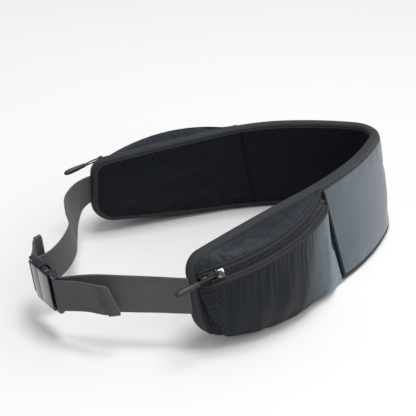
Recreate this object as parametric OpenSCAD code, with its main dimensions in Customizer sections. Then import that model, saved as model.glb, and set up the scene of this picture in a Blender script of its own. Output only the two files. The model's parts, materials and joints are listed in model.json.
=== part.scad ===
// Padded hip belt: three padded panels, a zipped pocket on each wing, and a
// webbing waist strap closed by a side-release buckle. Millimetres, +Z up, the
// buckle at the front on -Y, the wearer's left on +X, the floor at Z = 0.

/* [Band] */
// Length of the padded band from the middle of the back to a wing tip
half_len = 338; // [325:1:345]
// Height of the band at the back
band_h = 119; // [112:1:124]
// How far the top edge drops at a wing tip
top_drop = 19; // [10:1:24]
// How far the bottom edge rises at a wing tip
bottom_rise = 16; // [10:1:20]
// How far the band's lower edge leans outward, in degrees
lean = 10; // [6:1:12]
// Radius of a wing tip's upper corner
corner_top = 16; // [12:1:20]
// Radius of a wing tip's lower corner
corner_low = 27; // [20:1:32]
// Width of the binding tape's fold on each face
bind_w = 7; // [5:0.5:9]

/* [Plan of the closed loop] */
// Length of the tight bend at the middle of the back, on each side
back_len = 30; // [24:1:40]
// Turn of that bend on each side, in degrees
back_turn = 50; // [44:1:54]
// Length of the gentle bend over the hip
hip_len = 157; // [140:1:170]
// Turn of that bend, in degrees
hip_turn = 30; // [24:1:34]
// Distance from the origin to the middle of the back
back_y = 202.2; // [190:0.1:220]

/* [Panels] */
// Place of the seam between back panel and wing, along the top edge
seam_top = 165; // [155:1:175]
// Place of that seam along the bottom edge
seam_low = 140; // [130:1:150]
// Thickness of the foam core
foam_t = 5.1; // [4:0.1:6]
// Thickness of the spacer mesh lining
mesh_t = 2.4; // [1.5:0.1:3]
// Thickness of the outer fabric
shell_t = 1; // [0.8:0.1:1.5]

/* [Pockets] */
// How far the zip bows out from the straight line between its ends
zip_bow = 25; // [16:1:26]
// Width of one zip tape, from the coil's edge to its sewn edge
tape_w = 6.8; // [5:0.1:8]
// Thickness of the pocket fabric
pocket_t = 1; // [0.8:0.1:1.2]
// How far the pocket's belly stands out over its lower edge
belly = 34; // [20:1:38]

/* [Waist strap] */
// Width of the webbing
web_w = 38; // [38]
// Thickness of the webbing
web_t = 1.6; // [1.2:0.1:1.8]

/* [Buckle] */
// Length of the closed buckle
buckle_len = 46; // [44:1:48]
// Height of the buckle across the webbing
buckle_h = 45; // [44:1:48]
// Thickness of the buckle
buckle_t = 11; // [10.5:0.1:12]

/* [Hidden] */

// Clearance between pieces that meet, layers of a panel and moving bodies
gap = 0.05;
layer_gap = 0.35;
move_gap = 0.5;
round_fn = 48;

// Colours
slate = [0.24, 0.29, 0.33];
dark_slate = [0.17, 0.19, 0.23];
mesh_black = [0.05, 0.06, 0.08];
charcoal = [0.14, 0.14, 0.15];
web_grey = [0.25, 0.25, 0.26];
foam_grey = [0.45, 0.45, 0.47];
gloss_black = [0.08, 0.09, 0.11];

// Layers of the band, measured outward from its middle surface
foam_in = -foam_t / 2 + 0.1;
foam_out = foam_in + foam_t;
mesh_in = foam_in - layer_gap - mesh_t;
shell_out = foam_out + layer_gap + shell_t;
bind_t = 0.8;
bind_fit = 0.2;
bind_in = mesh_in - bind_fit - bind_t;
bind_out = shell_out + bind_fit + bind_t;
edge_in = bind_t + 0.3;     // the panels stop this far inside the binding's outer edge
lean_z = 60;                // height at which the lean adds nothing

// ---- Band coordinates: s along the band, z up, t outward ----

function heading(s) =
    s < back_len ? back_turn * s / back_len
    : back_turn + hip_turn * min(1, (s - back_len) / hip_len);
back_r = back_len * 180 / PI / back_turn;
hip_r = hip_len * 180 / PI / hip_turn;
wing_turn = back_turn + hip_turn;
function arc_from(h0, h1, r) = r * [sin(h1) - sin(h0), cos(h1) - cos(h0)];
function plan(s) =
    let (h = heading(s), first = arc_from(0, min(h, back_turn), back_r))
    s < back_len ? first
    : let (second = first + arc_from(back_turn, h, hip_r))
      s < back_len + hip_len ? second
      : second + (s - back_len - hip_len) * [cos(h), -sin(h)];
// A point of the band: s is negative on the wearer's right
function belt(s, z, t) =
    let (a = abs(s), p = plan(a), h = heading(a), o = t + (lean_z - z) * tan(lean))
    [sign(s) * (p[0] + o * sin(h)), back_y + p[1] + o * cos(h), z];
function outward(s) = [sin(heading(s)), cos(heading(s)), 0];

// Edge heights, with the wing tip's corners rounded, for an outline moved in by i
function share(s, from) = max(0, (abs(s) - from) / (half_len - from));
function corner_cut(s, r, i) =
    let (x = max(0, min(1, (abs(s) - half_len + r) / (r - i))))
    (r - i) * (1 - sqrt(max(0, 1 - x * x)));
function edge_top(s, i = 0) = band_h - top_drop * pow(share(s, 120), 1.5) - i
    - corner_cut(s, corner_top, i);
function edge_low(s, i = 0) = bottom_rise * pow(share(s, 110), 2) + i
    + corner_cut(s, corner_low, i);

// Solid through a list of closed rings that all have the same number of points;
// turned lists the sides whose quads are split along their other diagonal
module loft(rings, turned = []) {
    n = len(rings);
    m = len(rings[0]);
    polyhedron(
        points = [for (r = rings) each r],
        faces = concat(
            [[for (j = [m - 1:-1:0]) j]],
            [[for (j = [0:m - 1]) (n - 1) * m + j]],
            [for (i = [0:n - 2], j = [0:m - 1], k = [0, 1])
                let (a = i * m + j, b = i * m + (j + 1) % m, other = len(search(j, turned)) > 0)
                k == 0 ? [a, b, other ? a + m : b + m] : [other ? b : a, b + m, a + m]]),
        convexity = 10);
}

// One layer of a panel, from t0 to t1; each station is [s at the bottom, s at the top].
// Its two faces are split alike, so that layers lie on each other without crossing
module layer(stations, t0, t1) {
    loft([for (st = stations)
        [belt(st[0], edge_low(st[0], edge_in), t0), belt(st[1], edge_top(st[1], edge_in), t0),
         belt(st[1], edge_top(st[1], edge_in), t1), belt(st[0], edge_low(st[0], edge_in), t1)]],
        turned = [2]);
}

// Shares of the half panel or wing at which it has a station
centre_shares = [0, 0.06, 0.12, 0.18, 0.3, 0.48, 0.66, 0.84, 1];
centre_stations = [for (side = [-1, 1], k = [0:8])
    let (u = side < 0 ? centre_shares[8 - k] : centre_shares[k])
    if (side < 0 || k > 0) side * u * [seam_low, seam_top] + (u == 0 ? [0.001, 0.001] : [0, 0])];
tip_turn = 90;
function wing_s(u, i) = let (s1 = half_len - i, g = move_gap)
    [seam_low + g + (s1 - seam_low - g) * u, seam_top + g + (s1 - seam_top - g) * u];
tip_share = corner_low / (half_len - seam_low);
wing_shares = concat([for (k = [0:5]) k / 6 * (1 - tip_share)],
    [for (a = [0:15:tip_turn]) 1 - tip_share * (1 - sin(a))]);
wing_stations = [for (u = wing_shares) wing_s(u, edge_in)];

module centre_layer(t0, t1) { layer(centre_stations, t0, t1); }
module wing_layer(t0, t1) { layer(wing_stations, t0, t1); }
module right() { mirror([1, 0, 0]) children(); }

module centre_shell() { color(slate) centre_layer(foam_out + layer_gap, shell_out); }
module centre_foam() { color(foam_grey) centre_layer(foam_in, foam_out); }
module centre_mesh() { color(mesh_black) centre_layer(mesh_in, foam_in - layer_gap); }
module wing_shell() { color(slate) wing_layer(foam_out + layer_gap, shell_out); }
module wing_foam() { color(foam_grey) wing_layer(foam_in, foam_out); }
module wing_mesh() { color(mesh_black) wing_layer(mesh_in, foam_in - layer_gap); }

// Binding: a U section folded over the edge. The path is a list of [s, z], and
// the panel lies to the right of its direction, or to the left where flip is true
u_section = [[0, bind_in], [0, bind_out], [bind_w, bind_out], [bind_w, bind_out - bind_t],
    [bind_t, bind_out - bind_t], [bind_t, bind_in + bind_t], [bind_w, bind_in + bind_t],
    [bind_w, bind_in]];
module binding(path, flip = false) {
    n = len(path);
    q = flip ? [for (k = [11:-1:4]) u_section[k % 8]] : u_section;
    loft([for (i = [0:n - 1])
        let (d = path[min(n - 1, i + 1)] - path[max(0, i - 1)],
            m = [d[1], -d[0]] / norm(d) * (flip ? -1 : 1))
        [for (c = q) belt(path[i][0] + c[0] * m[0], path[i][1] + c[0] * m[1], c[1])]]);
}
module centre_binding_top() {
    color(charcoal) binding([for (st = centre_stations) [st[1], edge_top(st[1])]]);
}
module centre_binding_bottom() {
    color(charcoal) binding([for (st = centre_stations) [st[0], edge_low(st[0])]], flip = true);
}
module wing_binding() {
    s0 = seam_top + move_gap;
    s1 = seam_low + move_gap;
    top_end = half_len - corner_top;
    low_end = half_len - corner_low;
    color(charcoal) binding(concat(
        [for (k = [0:7]) let (s = s0 + (top_end - s0) * k / 8) [s, edge_top(s)]],
        [for (a = [0:18:90]) let (s = top_end + corner_top * sin(a)) [s, edge_top(s)]],
        [for (a = [90:-15:0]) let (s = low_end + corner_low * sin(a)) [s, edge_low(s)]],
        [for (k = [7:-1:0]) let (s = s1 + (low_end - s1) * k / 8) [s, edge_low(s)]]));
}

// The seam's piping, a round cord on the line that the wing bends about
pipe_r = 1.6;
pipe_t = shell_out + pipe_r + 0.8;
pipe_from = belt(seam_low, 0, pipe_t);
pipe_to = belt(seam_top, band_h, pipe_t);
module along(from, to) {
    d = to - from;
    translate(from) rotate([0, acos(d[2] / norm(d)), atan2(d[1], d[0])]) children();
}
module seam_piping() {
    margin = bind_w + 2;
    color(charcoal) along(pipe_from, pipe_to) translate([0, 0, margin])
        cylinder(h = norm(pipe_to - pipe_from) - 2 * margin, r = pipe_r, $fn = round_fn);
}

// ---- Zip: a circular arc from the seam to the wing tip ----

zip_front = belt(331, 81, 11.5);
zip_back = belt(172, 107, 12);
zip_tilt = 12;              // degrees that the arc's bow rises above level
coil_w = 2.0;               // width of one coil, beside a slot of coil_slot
coil_slot = 0.8;
coil_t = 2;
tape_t = 0.6;
tape_pitch = 42;            // degrees that the tapes fall outward
zip_chord = zip_back - zip_front;
zip_e = zip_chord / norm(zip_chord);
bow_aim = outward(250) * cos(zip_tilt) + [0, 0, sin(zip_tilt)];
bow_part = bow_aim - zip_e * (zip_e * bow_aim);
zip_n = bow_part / norm(bow_part);
zip_a = cross(zip_n, zip_e);
zip_r = (pow(norm(zip_chord) / 2, 2) + pow(zip_bow, 2)) / 2 / zip_bow;
zip_c = (zip_front + zip_back) / 2 - zip_n * (zip_r - zip_bow);
zip_half = asin(norm(zip_chord) / 2 / zip_r);
// Point of the arc at angle a from its middle, moved w across the tape and h off its face
function zip_point(a, w = 0, h = 0) =
    zip_c + (zip_r + w * cos(tape_pitch) + h * sin(tape_pitch)) * (zip_n * cos(a) + zip_e * sin(a))
    + (h * cos(tape_pitch) - w * sin(tape_pitch)) * zip_a;

// Puts children, made about Z with their middle at angle 0, on the zip's arc
module on_zip() {
    multmatrix([[zip_n[0], zip_e[0], zip_a[0], zip_c[0]], [zip_n[1], zip_e[1], zip_a[1], zip_c[1]],
        [zip_n[2], zip_e[2], zip_a[2], zip_c[2]], [0, 0, 0, 1]]) children();
}
// An arc of rectangular section: w0 to w1 across the tape, h0 to h1 off its face
module zip_arc(a0, a1, w0, w1, h0, h1) {
    on_zip() rotate([0, 0, a0]) rotate_extrude(angle = a1 - a0, $fn = 180)
        translate([zip_r, 0]) rotate(-tape_pitch)
            translate([w0, h0]) square([w1 - w0, h1 - h0]);
}
tape_edge = coil_slot / 2 + coil_w + tape_w;
module zip_tape(side) {
    w = coil_slot / 2 + coil_w + gap;
    color(charcoal) if (side > 0) zip_arc(-zip_half, zip_half, w, tape_edge, -tape_t / 2, tape_t / 2);
    else zip_arc(-zip_half, zip_half, -tape_edge, -w, -tape_t / 2, tape_t / 2);
}
stop_half = 0.9;            // half of a stop's length, in degrees
module zip_coil(side) {
    a = zip_half - 2 * stop_half - 0.6;
    w = coil_slot / 2;
    color(gloss_black) if (side > 0) zip_arc(-a, a, w, w + coil_w, -coil_t / 2, coil_t / 2);
    else zip_arc(-a, a, -w - coil_w, -w, -coil_t / 2, coil_t / 2);
}
module zip_stops() {
    w = coil_slot / 2 + coil_w;
    color(gloss_black) for (a = [-zip_half + stop_half, zip_half - stop_half])
        zip_arc(a - stop_half, a + stop_half, -w, w, -coil_t / 2, coil_t / 2);
}

// Slider: two plates over and under the coils, joined by a thin wedge in the slot,
// with a round bar on top for the pull
slide_half = 3;             // half of the slider's length, in degrees
slide_at = -zip_half + 2 * stop_half + slide_half + 1.2;
plate_w = 4.6;
plate_gap = 0.4;
plate_t = 1.1;
wedge_half = 0.25;          // half of the wedge's width, inside the coil slot
bar_r = 0.9;
bar_up = coil_t / 2 + plate_gap + plate_t + 2.4;
cheek_at = 3.4;             // the bar's two cheeks stand this far off its middle
cheek_t = 1.2;
cheek_len = 4.4;
module zip_slider() {
    h = coil_t / 2 + plate_gap;
    color(gloss_black) {
        zip_arc(slide_at - slide_half, slide_at + slide_half, -plate_w, plate_w, h, h + plate_t);
        zip_arc(slide_at - slide_half, slide_at + slide_half, -plate_w, plate_w, -h - plate_t, -h);
        zip_arc(slide_at - slide_half, slide_at - slide_half + 1, -wedge_half, wedge_half,
            -h - 0.1, h + 0.1);
        for (w = [-cheek_at, cheek_at]) pull_frame() hull() {
            translate([0, w, 0]) rotate([90, 0, 0])
                cylinder(h = cheek_t, r = bar_r + 0.5, center = true, $fn = 24);
            translate([0, w, h + plate_t / 2 - bar_up])
                cube([cheek_len, cheek_t, plate_t * 0.8], center = true);
        }
        pull_frame() rotate([90, 0, 0])
            cylinder(h = 2 * cheek_at, r = bar_r, center = true, $fn = round_fn);
    }
}
// Frame of the pull: X along the arc toward the tip, Y across the tape, Z off its face
pull_at = zip_point(slide_at, 0, bar_up);
pull_x = -(zip_e * cos(slide_at) - zip_n * sin(slide_at));
pull_radial = zip_n * cos(slide_at) + zip_e * sin(slide_at);
pull_y = -(pull_radial * cos(tape_pitch) - zip_a * sin(tape_pitch));
pull_z = pull_radial * sin(tape_pitch) + zip_a * cos(tape_pitch);
module pull_frame() {
    multmatrix([[pull_x[0], pull_y[0], pull_z[0], pull_at[0]],
        [pull_x[1], pull_y[1], pull_z[1], pull_at[1]],
        [pull_x[2], pull_y[2], pull_z[2], pull_at[2]], [0, 0, 0, 1]]) children();
}
pull_lift = 12;             // degrees that the pull stands off the slider's own line
pull_droop = 14;            // degrees that the cord hangs across the tape
cord_r = 0.7;
strand_at = 1.1;            // each strand of the cord runs this far off the pull's middle
ring_fit = 0.06;
ring_wall = 1.1;
cord_len = 19;
grip_len = 26;
grip_r = 3.3;
module pull_cord() {
    ring = bar_r + ring_fit;
    from = ring + ring_wall / 2 + 0.2;
    color(charcoal) pull_frame() rotate([0, -pull_lift, 0]) for (w = [-strand_at, strand_at]) {
        translate([0, w, 0]) rotate([90, 0, 0]) difference() {
            cylinder(h = 1.5, r = ring + ring_wall, center = true, $fn = round_fn);
            cylinder(h = 2, r = ring, center = true, $fn = round_fn);
        }
        rotate([0, 0, -pull_droop]) translate([from, w, 0]) rotate([0, 90, 0])
            cylinder(h = cord_len - from, r = cord_r, $fn = 24);
    }
}
module pull_grip() {
    straight = grip_len - grip_r;
    color(charcoal) pull_frame() rotate([0, -pull_lift, 0]) rotate([0, 0, -pull_droop])
        translate([cord_len + gap, 0, 0]) {
            rotate([0, 90, 0]) cylinder(h = straight, r1 = grip_r * 0.8, r2 = grip_r, $fn = round_fn);
            translate([straight, 0, 0]) sphere(r = grip_r, $fn = round_fn);
        }
}

// ---- Pocket: a front panel under the zip and a narrow one above it ----

// Smooth curve through a list of points
function smooth(p, v) =
    let (n = len(p) - 1, x = min(n - 0.0001, v * n), i = floor(x), f = x - i,
        a = p[max(0, i - 1)], b = p[i], c = p[i + 1], d = p[min(n, i + 2)])
    b + (c - a) * f / 2 + (2 * a - 5 * b + 4 * c - d) * f * f / 2
        + (3 * b - a - 3 * c + d) * f * f * f / 2;
function bezier(p, v) = pow(1 - v, 3) * p[0] + 3 * v * pow(1 - v, 2) * p[1]
    + 3 * v * v * (1 - v) * p[2] + v * v * v * p[3];
pocket_n = 12;
pocket_rows = 8;
skin = bind_out + 0.3;      // the pocket's edges lie on the band and its binding
up = [0, 0, 1];
// Stations run from the tip to the seam: k = -1 and pocket_n + 1 are the sewn ends
function zip_angle(k) = -zip_half + 2 * zip_half * k / pocket_n;
function swell(k) = pow(sin(180 * max(0, min(1, (k + 0.5) / (pocket_n + 1)))), 0.6);
low_tip = half_len - 11;
low_seam = seam_low + 4;
function pocket_low_s(k) = low_tip + (low_seam - low_tip) * (k + 1) / (pocket_n + 2);
function front_top(k) =
    k < 0 ? belt(half_len - 5, 76, skin)
    : k > pocket_n ? belt(seam_top - 1.5, 98, skin)
    : zip_point(zip_angle(k), tape_edge + 0.4);
sag_low = 7;                // how far the belly hangs below the band's edge
fall = [9, 12, 24];         // the front leaves the zip this far out, and this far down at tip and belly
belly_cut = 1.3;            // the inner face stands this many thicknesses inside the belly
function front_curve(k, inset) =
    let (s = pocket_low_s(k), o = outward(s), w = swell(k), top = front_top(k),
        low = belt(s, edge_low(s) + 0.8, skin), cut = inset * belly_cut,
        sag = (sag_low + edge_low(s)) * w, sewn = k < 0 || k > pocket_n)
    [low + up * inset,
     low + o * (belly * w - cut) + up * (inset - sag),
     top + o * (fall[0] * w - cut) - up * (fall[1] + fall[2] * w),
     top - o * inset * (sewn ? -1 : 1)];
module pocket_front() {
    color(dark_slate) loft([for (k = [-1:pocket_n + 1])
        let (outer = front_curve(k, 0), inner = front_curve(k, pocket_t))
        concat([for (v = [0:pocket_rows]) bezier(inner, v / pocket_rows)],
            [for (v = [pocket_rows:-1:0]) bezier(outer, v / pocket_rows)])]);
}
module pocket_top() {
    rows = 3;
    color(slate) loft([for (k = [-1:pocket_n + 1])
        let (s = half_len - 5 + (seam_top + 4 - half_len + 5) * (k + 1) / (pocket_n + 2),
            edge = belt(s, edge_top(s) - 2, skin),
            low = k < 0 ? belt(half_len - 5, 82, skin)
                : k > pocket_n ? belt(seam_top + 2.5, 108, skin)
                : zip_point(zip_angle(k), -tape_edge - 0.4))
        concat([for (v = [0:rows]) edge + (low - edge) * v / rows],
            [for (v = [rows:-1:0]) edge + (low - edge) * v / rows + outward(s) * 0.3 + up * pocket_t])]);
}

// ---- Buckle: X toward the plug's strap, Y away from the wearer, Z up ----

buckle_at = [26, -208, 56];
buckle_turn = 190;          // degrees about Z from world X to the buckle's X
buckle_lean = 6;            // degrees that the buckle's top leans away from the wearer
module buckle_frame() {
    translate(buckle_at) rotate([0, 0, buckle_turn]) rotate([-buckle_lean, 0, 0]) children();
}
bx = [cos(buckle_turn), sin(buckle_turn), 0];
by0 = [-sin(buckle_turn), cos(buckle_turn), 0];
by = by0 * cos(buckle_lean) - up * sin(buckle_lean);
bz = by0 * sin(buckle_lean) + up * cos(buckle_lean);
function buckle_point(x, y, z) = buckle_at + bx * x + by * y + bz * z;

bl = buckle_len / 2;
bh = buckle_h / 2;
bt = buckle_t / 2;
strap_bar_r = 1.9;
bar_x = bl - strap_bar_r - 0.4;
rail_w = 2.8;               // height of each side rail beside the webbing slot
back_wall = bl - 8;         // where the solid part of each half ends
mouth_x = 3;                // the socket's mouth
cavity = [back_wall - 2 + mouth_x, 6.6, 39];
fit = 0.35;

module rounded_block(x0, x1, y, z, r) {
    translate([x0, 0, 0]) rotate([90, 0, 90]) linear_extrude(x1 - x0)
        for (sy = [-1, 1], sz = [-1, 1]) union() {
            square([2 * y - 2 * r, 2 * z], center = true);
            square([2 * y, 2 * z - 2 * r], center = true);
            translate([sy * (y - r), sz * (z - r)]) circle(r = r, $fn = round_fn);
        }
}
// Strap end of either half: two rails and a round bar, on the +X side
module ladder() {
    for (s = [-1, 1]) translate([back_wall - 0.5, -3, s > 0 ? bh - rail_w - 0.4 : -bh + 0.4])
        cube([bl - back_wall + 0.5 - strap_bar_r, 6, rail_w]);
    for (s = [-1, 1]) translate([bar_x, 0, s > 0 ? bh - rail_w - 0.4 : -bh + 0.4])
        cylinder(h = rail_w, r = 3, $fn = round_fn);
    translate([bar_x, 0, -bh + 1]) cylinder(h = 2 * bh - 2, r = strap_bar_r, $fn = round_fn);
}
module buckle_socket() {
    color(gloss_black) buckle_frame() difference() {
        union() {
            rounded_block(-back_wall, mouth_x, bt, bh, 3);
            rotate([0, 0, 180]) ladder();
        }
        translate([-back_wall + 2, -cavity[1] / 2, -cavity[2] / 2]) cube(cavity + [1, 0, 0]);
        for (s = [-1, 1]) translate([-9, -4.2, s > 0 ? cavity[2] / 2 - 1 : -bh - 1])
            cube([10, 8.4, bh - cavity[2] / 2 + 2]);
    }
}
// The plug carries a guide and, in a slot on each side, the pin of a latch arm
guide_h = 5;
arm_y = 2.6;                // half of an arm's thickness
pin_at = [10, 10];
pin_r = 1.2;
root_r = 2.5;
slot_y = arm_y + 0.4;
module arm_slot() {
    translate([pin_at[0], 0, pin_at[1]]) rotate([90, 0, 0])
        cylinder(h = 2 * slot_y, r = root_r + 0.4, center = true, $fn = round_fn);
    translate([mouth_x - 1, -slot_y, pin_at[1] - 5])
        cube([pin_at[0] - mouth_x + 1, 2 * slot_y, 9.5]);
}
module buckle_plug() {
    color(gloss_black) buckle_frame() {
        difference() {
            rounded_block(mouth_x + fit, back_wall, bt, bh, 3);
            for (m = [0, 1]) mirror([0, 0, m]) arm_slot();
        }
        for (s = [-1, 1]) translate([pin_at[0], 0, s * pin_at[1]]) rotate([90, 0, 0])
            cylinder(h = 2 * slot_y + 1, r = pin_r, center = true, $fn = round_fn);
        ladder();
        translate([-back_wall + 3, -arm_y, -guide_h / 2])
            cube([back_wall - 3 + mouth_x + fit + 1, 2 * arm_y, guide_h]);
    }
}
// A latch arm: its root turns on the plug's pin and its shoulder fills the window
module latch_arm(side) {
    color(gloss_black) buckle_frame() mirror([0, 0, side < 0 ? 1 : 0])
        rotate([90, 0, 0]) translate([0, 0, -arm_y]) linear_extrude(2 * arm_y) difference() {
            union() {
                translate(pin_at) circle(r = root_r, $fn = round_fn);
                polygon([[10, 7.5], [10, 12.4], [5, 12.8], [1.6, 14], [0.4, 16.5], [0.2, bh - 0.8],
                    [-6.5, bh - 1.8], [-8.4, 16.8], [-11, 15], [-11, 12], [-6, 11], [4, 8.6]]);
            }
            translate(pin_at) circle(r = pin_r + 0.05, $fn = round_fn);
        }
}

// ---- Waist strap ----

// A strip of webbing through rows of [lower edge, upper edge]
module strip(rows) {
    n = len(rows);
    loft([for (i = [0:n - 1])
        let (a = rows[i], d = rows[min(n - 1, i + 1)] - rows[max(0, i - 1)],
            n0 = cross(d[0], a[1] - a[0]), n1 = cross(d[1], a[1] - a[0]),
            m0 = n0 / norm(n0) * web_t / 2, m1 = n1 / norm(n1) * web_t / 2)
        [a[0] - m0, a[1] - m1, a[1] + m1, a[0] + m0]]);
}
function between(low, top, steps) =
    [for (i = [0:steps]) [smooth(low, i / steps), smooth(top, i / steps)]];
web_low = 43;               // height of the webbing's lower edge at the wing tips
web_high = web_low + 37.5;
web_y = strap_bar_r + 0.1 + web_t / 2;     // the webbing's middle, off the bar's axis
tip_s = half_len + 0.6;
module webbing_left() {
    color(web_grey) strip(between(
        [belt(tip_s, web_low, -1), [104, -126, 43], [87, -152, 42], [66, -179, 40],
            buckle_point(-bar_x - 0.3, -web_y, -web_w / 2)],
        [belt(tip_s, web_high, -1), [98, -126, 81], [80, -151, 80], [61, -176, 78],
            buckle_point(-bar_x - 0.3, -web_y, web_w / 2)], 14));
}
module webbing_right() {
    color(web_grey) strip(between(
        [belt(-tip_s, web_low, -1), [-110, -114, 42], [-84, -130, 42], [-56, -143, 41],
            [-33, -154, 40], [-13, -171, 39], [1, -192, 38],
            buckle_point(bar_x + 0.3, -web_y, -web_w / 2)],
        [belt(-tip_s, web_high, -1), [-107, -121, 80], [-88, -141, 79], [-60, -152, 78],
            [-38, -157, 77], [-17, -173, 76], [0, -193, 76],
            buckle_point(bar_x + 0.3, -web_y, web_w / 2)], 21));
}
// The free end: wrapped part-way round a bar, then back along the strap
wrap_end = 198;
function wrap(side) = [for (a = [wrap_end:-18:90]) [for (z = [-web_w / 2, web_w / 2])
    buckle_point(side * (bar_x + web_y * cos(a)), web_y * sin(a), z)]];
module webbing_tail_left() {
    color(web_grey) strip(concat(wrap(-1), between(
        [buckle_point(-bar_x - 1.5, web_y, -web_w / 2), [52, -200, 38], [67, -184, 41],
            [82, -171, 42], [88, -159, 43]],
        [buckle_point(-bar_x - 1.5, web_y, web_w / 2), [54, -204, 76], [64, -192, 77],
            [76, -180, 77], [84.5, -171, 77]], 12)));
}
module webbing_tail_right() {
    color(web_grey) strip(concat(wrap(1), between(
        [buckle_point(bar_x + 1.5, web_y, -web_w / 2), [-8, -204, 38.5], [-18, -197, 43.5],
            [-18, -186, 46]],
        [buckle_point(bar_x + 1.5, web_y, web_w / 2), [-8, -208, 76.5], [-19, -201, 81.5],
            [-19, -189, 84]], 9)));
}
// The strap's sewn end, on the wing's outer face inside the pocket
anchor_from = 290;
anchor_len = 16;
anchor_in = shell_out + layer_gap;
anchor_out = anchor_in + web_t;
module strap_anchor() {
    color(web_grey) loft([for (k = [0:3]) let (s = anchor_from + anchor_len * k / 3)
        [belt(s, web_low, anchor_in), belt(s, web_high, anchor_in),
         belt(s, web_high, anchor_out), belt(s, web_low, anchor_out)]]);
}

centre_shell();
centre_foam();
centre_mesh();
centre_binding_top();
centre_binding_bottom();
wing_shell();  // wing_shell_left
right() wing_shell();  // wing_shell_right
wing_foam();  // wing_foam_left
right() wing_foam();  // wing_foam_right
wing_mesh();  // wing_mesh_left
right() wing_mesh();  // wing_mesh_right
wing_binding();  // wing_binding_left
right() wing_binding();  // wing_binding_right
seam_piping();  // seam_piping_left
right() seam_piping();  // seam_piping_right
pocket_front();  // pocket_front_left
right() pocket_front();  // pocket_front_right
pocket_top();  // pocket_top_left
right() pocket_top();  // pocket_top_right
zip_tape(-1);  // zip_tape_upper_left
right() zip_tape(-1);  // zip_tape_upper_right
zip_tape(1);  // zip_tape_lower_left
right() zip_tape(1);  // zip_tape_lower_right
zip_coil(-1);  // zip_coil_upper_left
right() zip_coil(-1);  // zip_coil_upper_right
zip_coil(1);  // zip_coil_lower_left
right() zip_coil(1);  // zip_coil_lower_right
zip_stops();  // zip_stops_left
right() zip_stops();  // zip_stops_right
zip_slider();  // zip_slider_left
right() zip_slider();  // zip_slider_right
pull_cord();  // pull_cord_left
right() pull_cord();  // pull_cord_right
pull_grip();  // pull_grip_left
right() pull_grip();  // pull_grip_right
strap_anchor();  // strap_anchor_left
right() strap_anchor();  // strap_anchor_right
webbing_left();
webbing_right();
webbing_tail_left();
webbing_tail_right();
buckle_socket();
buckle_plug();
latch_arm(1);  // latch_arm_upper
latch_arm(-1);  // latch_arm_lower
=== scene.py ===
import json
import math

import bpy
import numpy as np
from mathutils import Matrix, Vector

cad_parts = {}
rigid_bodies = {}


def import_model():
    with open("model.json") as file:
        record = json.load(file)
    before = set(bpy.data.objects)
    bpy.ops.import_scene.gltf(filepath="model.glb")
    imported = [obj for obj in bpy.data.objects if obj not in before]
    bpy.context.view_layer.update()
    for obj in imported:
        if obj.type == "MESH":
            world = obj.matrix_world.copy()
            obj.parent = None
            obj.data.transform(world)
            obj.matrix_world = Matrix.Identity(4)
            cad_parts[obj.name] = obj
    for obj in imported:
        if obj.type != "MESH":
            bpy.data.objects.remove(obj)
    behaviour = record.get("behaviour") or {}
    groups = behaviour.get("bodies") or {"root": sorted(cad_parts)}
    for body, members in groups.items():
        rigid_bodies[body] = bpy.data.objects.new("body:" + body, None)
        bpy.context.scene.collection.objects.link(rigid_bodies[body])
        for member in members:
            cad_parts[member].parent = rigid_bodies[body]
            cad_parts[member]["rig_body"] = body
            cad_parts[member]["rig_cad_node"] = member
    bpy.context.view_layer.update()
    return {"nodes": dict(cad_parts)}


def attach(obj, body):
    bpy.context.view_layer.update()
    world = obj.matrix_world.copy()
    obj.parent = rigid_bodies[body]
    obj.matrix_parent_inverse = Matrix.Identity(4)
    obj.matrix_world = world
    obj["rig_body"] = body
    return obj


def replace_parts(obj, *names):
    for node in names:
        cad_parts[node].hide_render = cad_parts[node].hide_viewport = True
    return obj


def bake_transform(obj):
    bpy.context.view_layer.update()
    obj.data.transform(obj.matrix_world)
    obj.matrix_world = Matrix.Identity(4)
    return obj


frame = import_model()
nodes = frame["nodes"]
scene = bpy.context.scene
scene.view_settings.view_transform = "Standard"
MM = 0.001
UP = np.array([0.0, 0.0, 1.0])

# ---- The band's own coordinates: s along it, z up, t outward, in millimetres ----

HALF_LEN, BAND_H, TOP_DROP, BOTTOM_RISE = 338.0, 119.0, 19.0, 16.0
CORNER_TOP, CORNER_LOW, LEAN, LEAN_Z = 16.0, 27.0, math.radians(10), 60.0
BACK_LEN, BACK_TURN, HIP_LEN, HIP_TURN, BACK_Y = 30.0, math.radians(50), 157.0, math.radians(30), 202.2
SEAM_TOP, SEAM_LOW, BIND_W = 165.0, 140.0, 7.0
OUTER, INNER = 4.0, -5.2
BACK_R, HIP_R = BACK_LEN / BACK_TURN, HIP_LEN / HIP_TURN


def heading(s):
    a = np.abs(s)
    near = BACK_TURN * a / BACK_LEN
    return np.where(a < BACK_LEN, near, BACK_TURN + HIP_TURN * np.clip((a - BACK_LEN) / HIP_LEN, 0, 1))


def plan(s):
    a, h = np.abs(s), heading(s)
    h1 = np.minimum(h, BACK_TURN)
    x = BACK_R * np.sin(h1) + HIP_R * (np.sin(h) - np.sin(h1))
    y = BACK_R * (np.cos(h1) - 1) + HIP_R * (np.cos(h) - np.cos(h1))
    rest = np.maximum(0, a - BACK_LEN - HIP_LEN)
    return x + rest * np.cos(h), y - rest * np.sin(h)


def belt(s, z, t):
    s, z, t = np.broadcast_arrays(np.asarray(s, float), np.asarray(z, float), np.asarray(t, float))
    px, py = plan(s)
    h = heading(s)
    o = t + (LEAN_Z - z) * math.tan(LEAN)
    side = np.where(s < 0, -1.0, 1.0)
    return np.stack([side * (px + o * np.sin(h)), BACK_Y + py + o * np.cos(h), z], -1)


def outward(s):
    h = heading(s)
    return np.stack([np.where(np.asarray(s) < 0, -1.0, 1.0) * np.sin(h), np.cos(h), 0 * h], -1)


def share(s, start):
    return np.maximum(0, (np.abs(s) - start) / (HALF_LEN - start))


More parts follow.
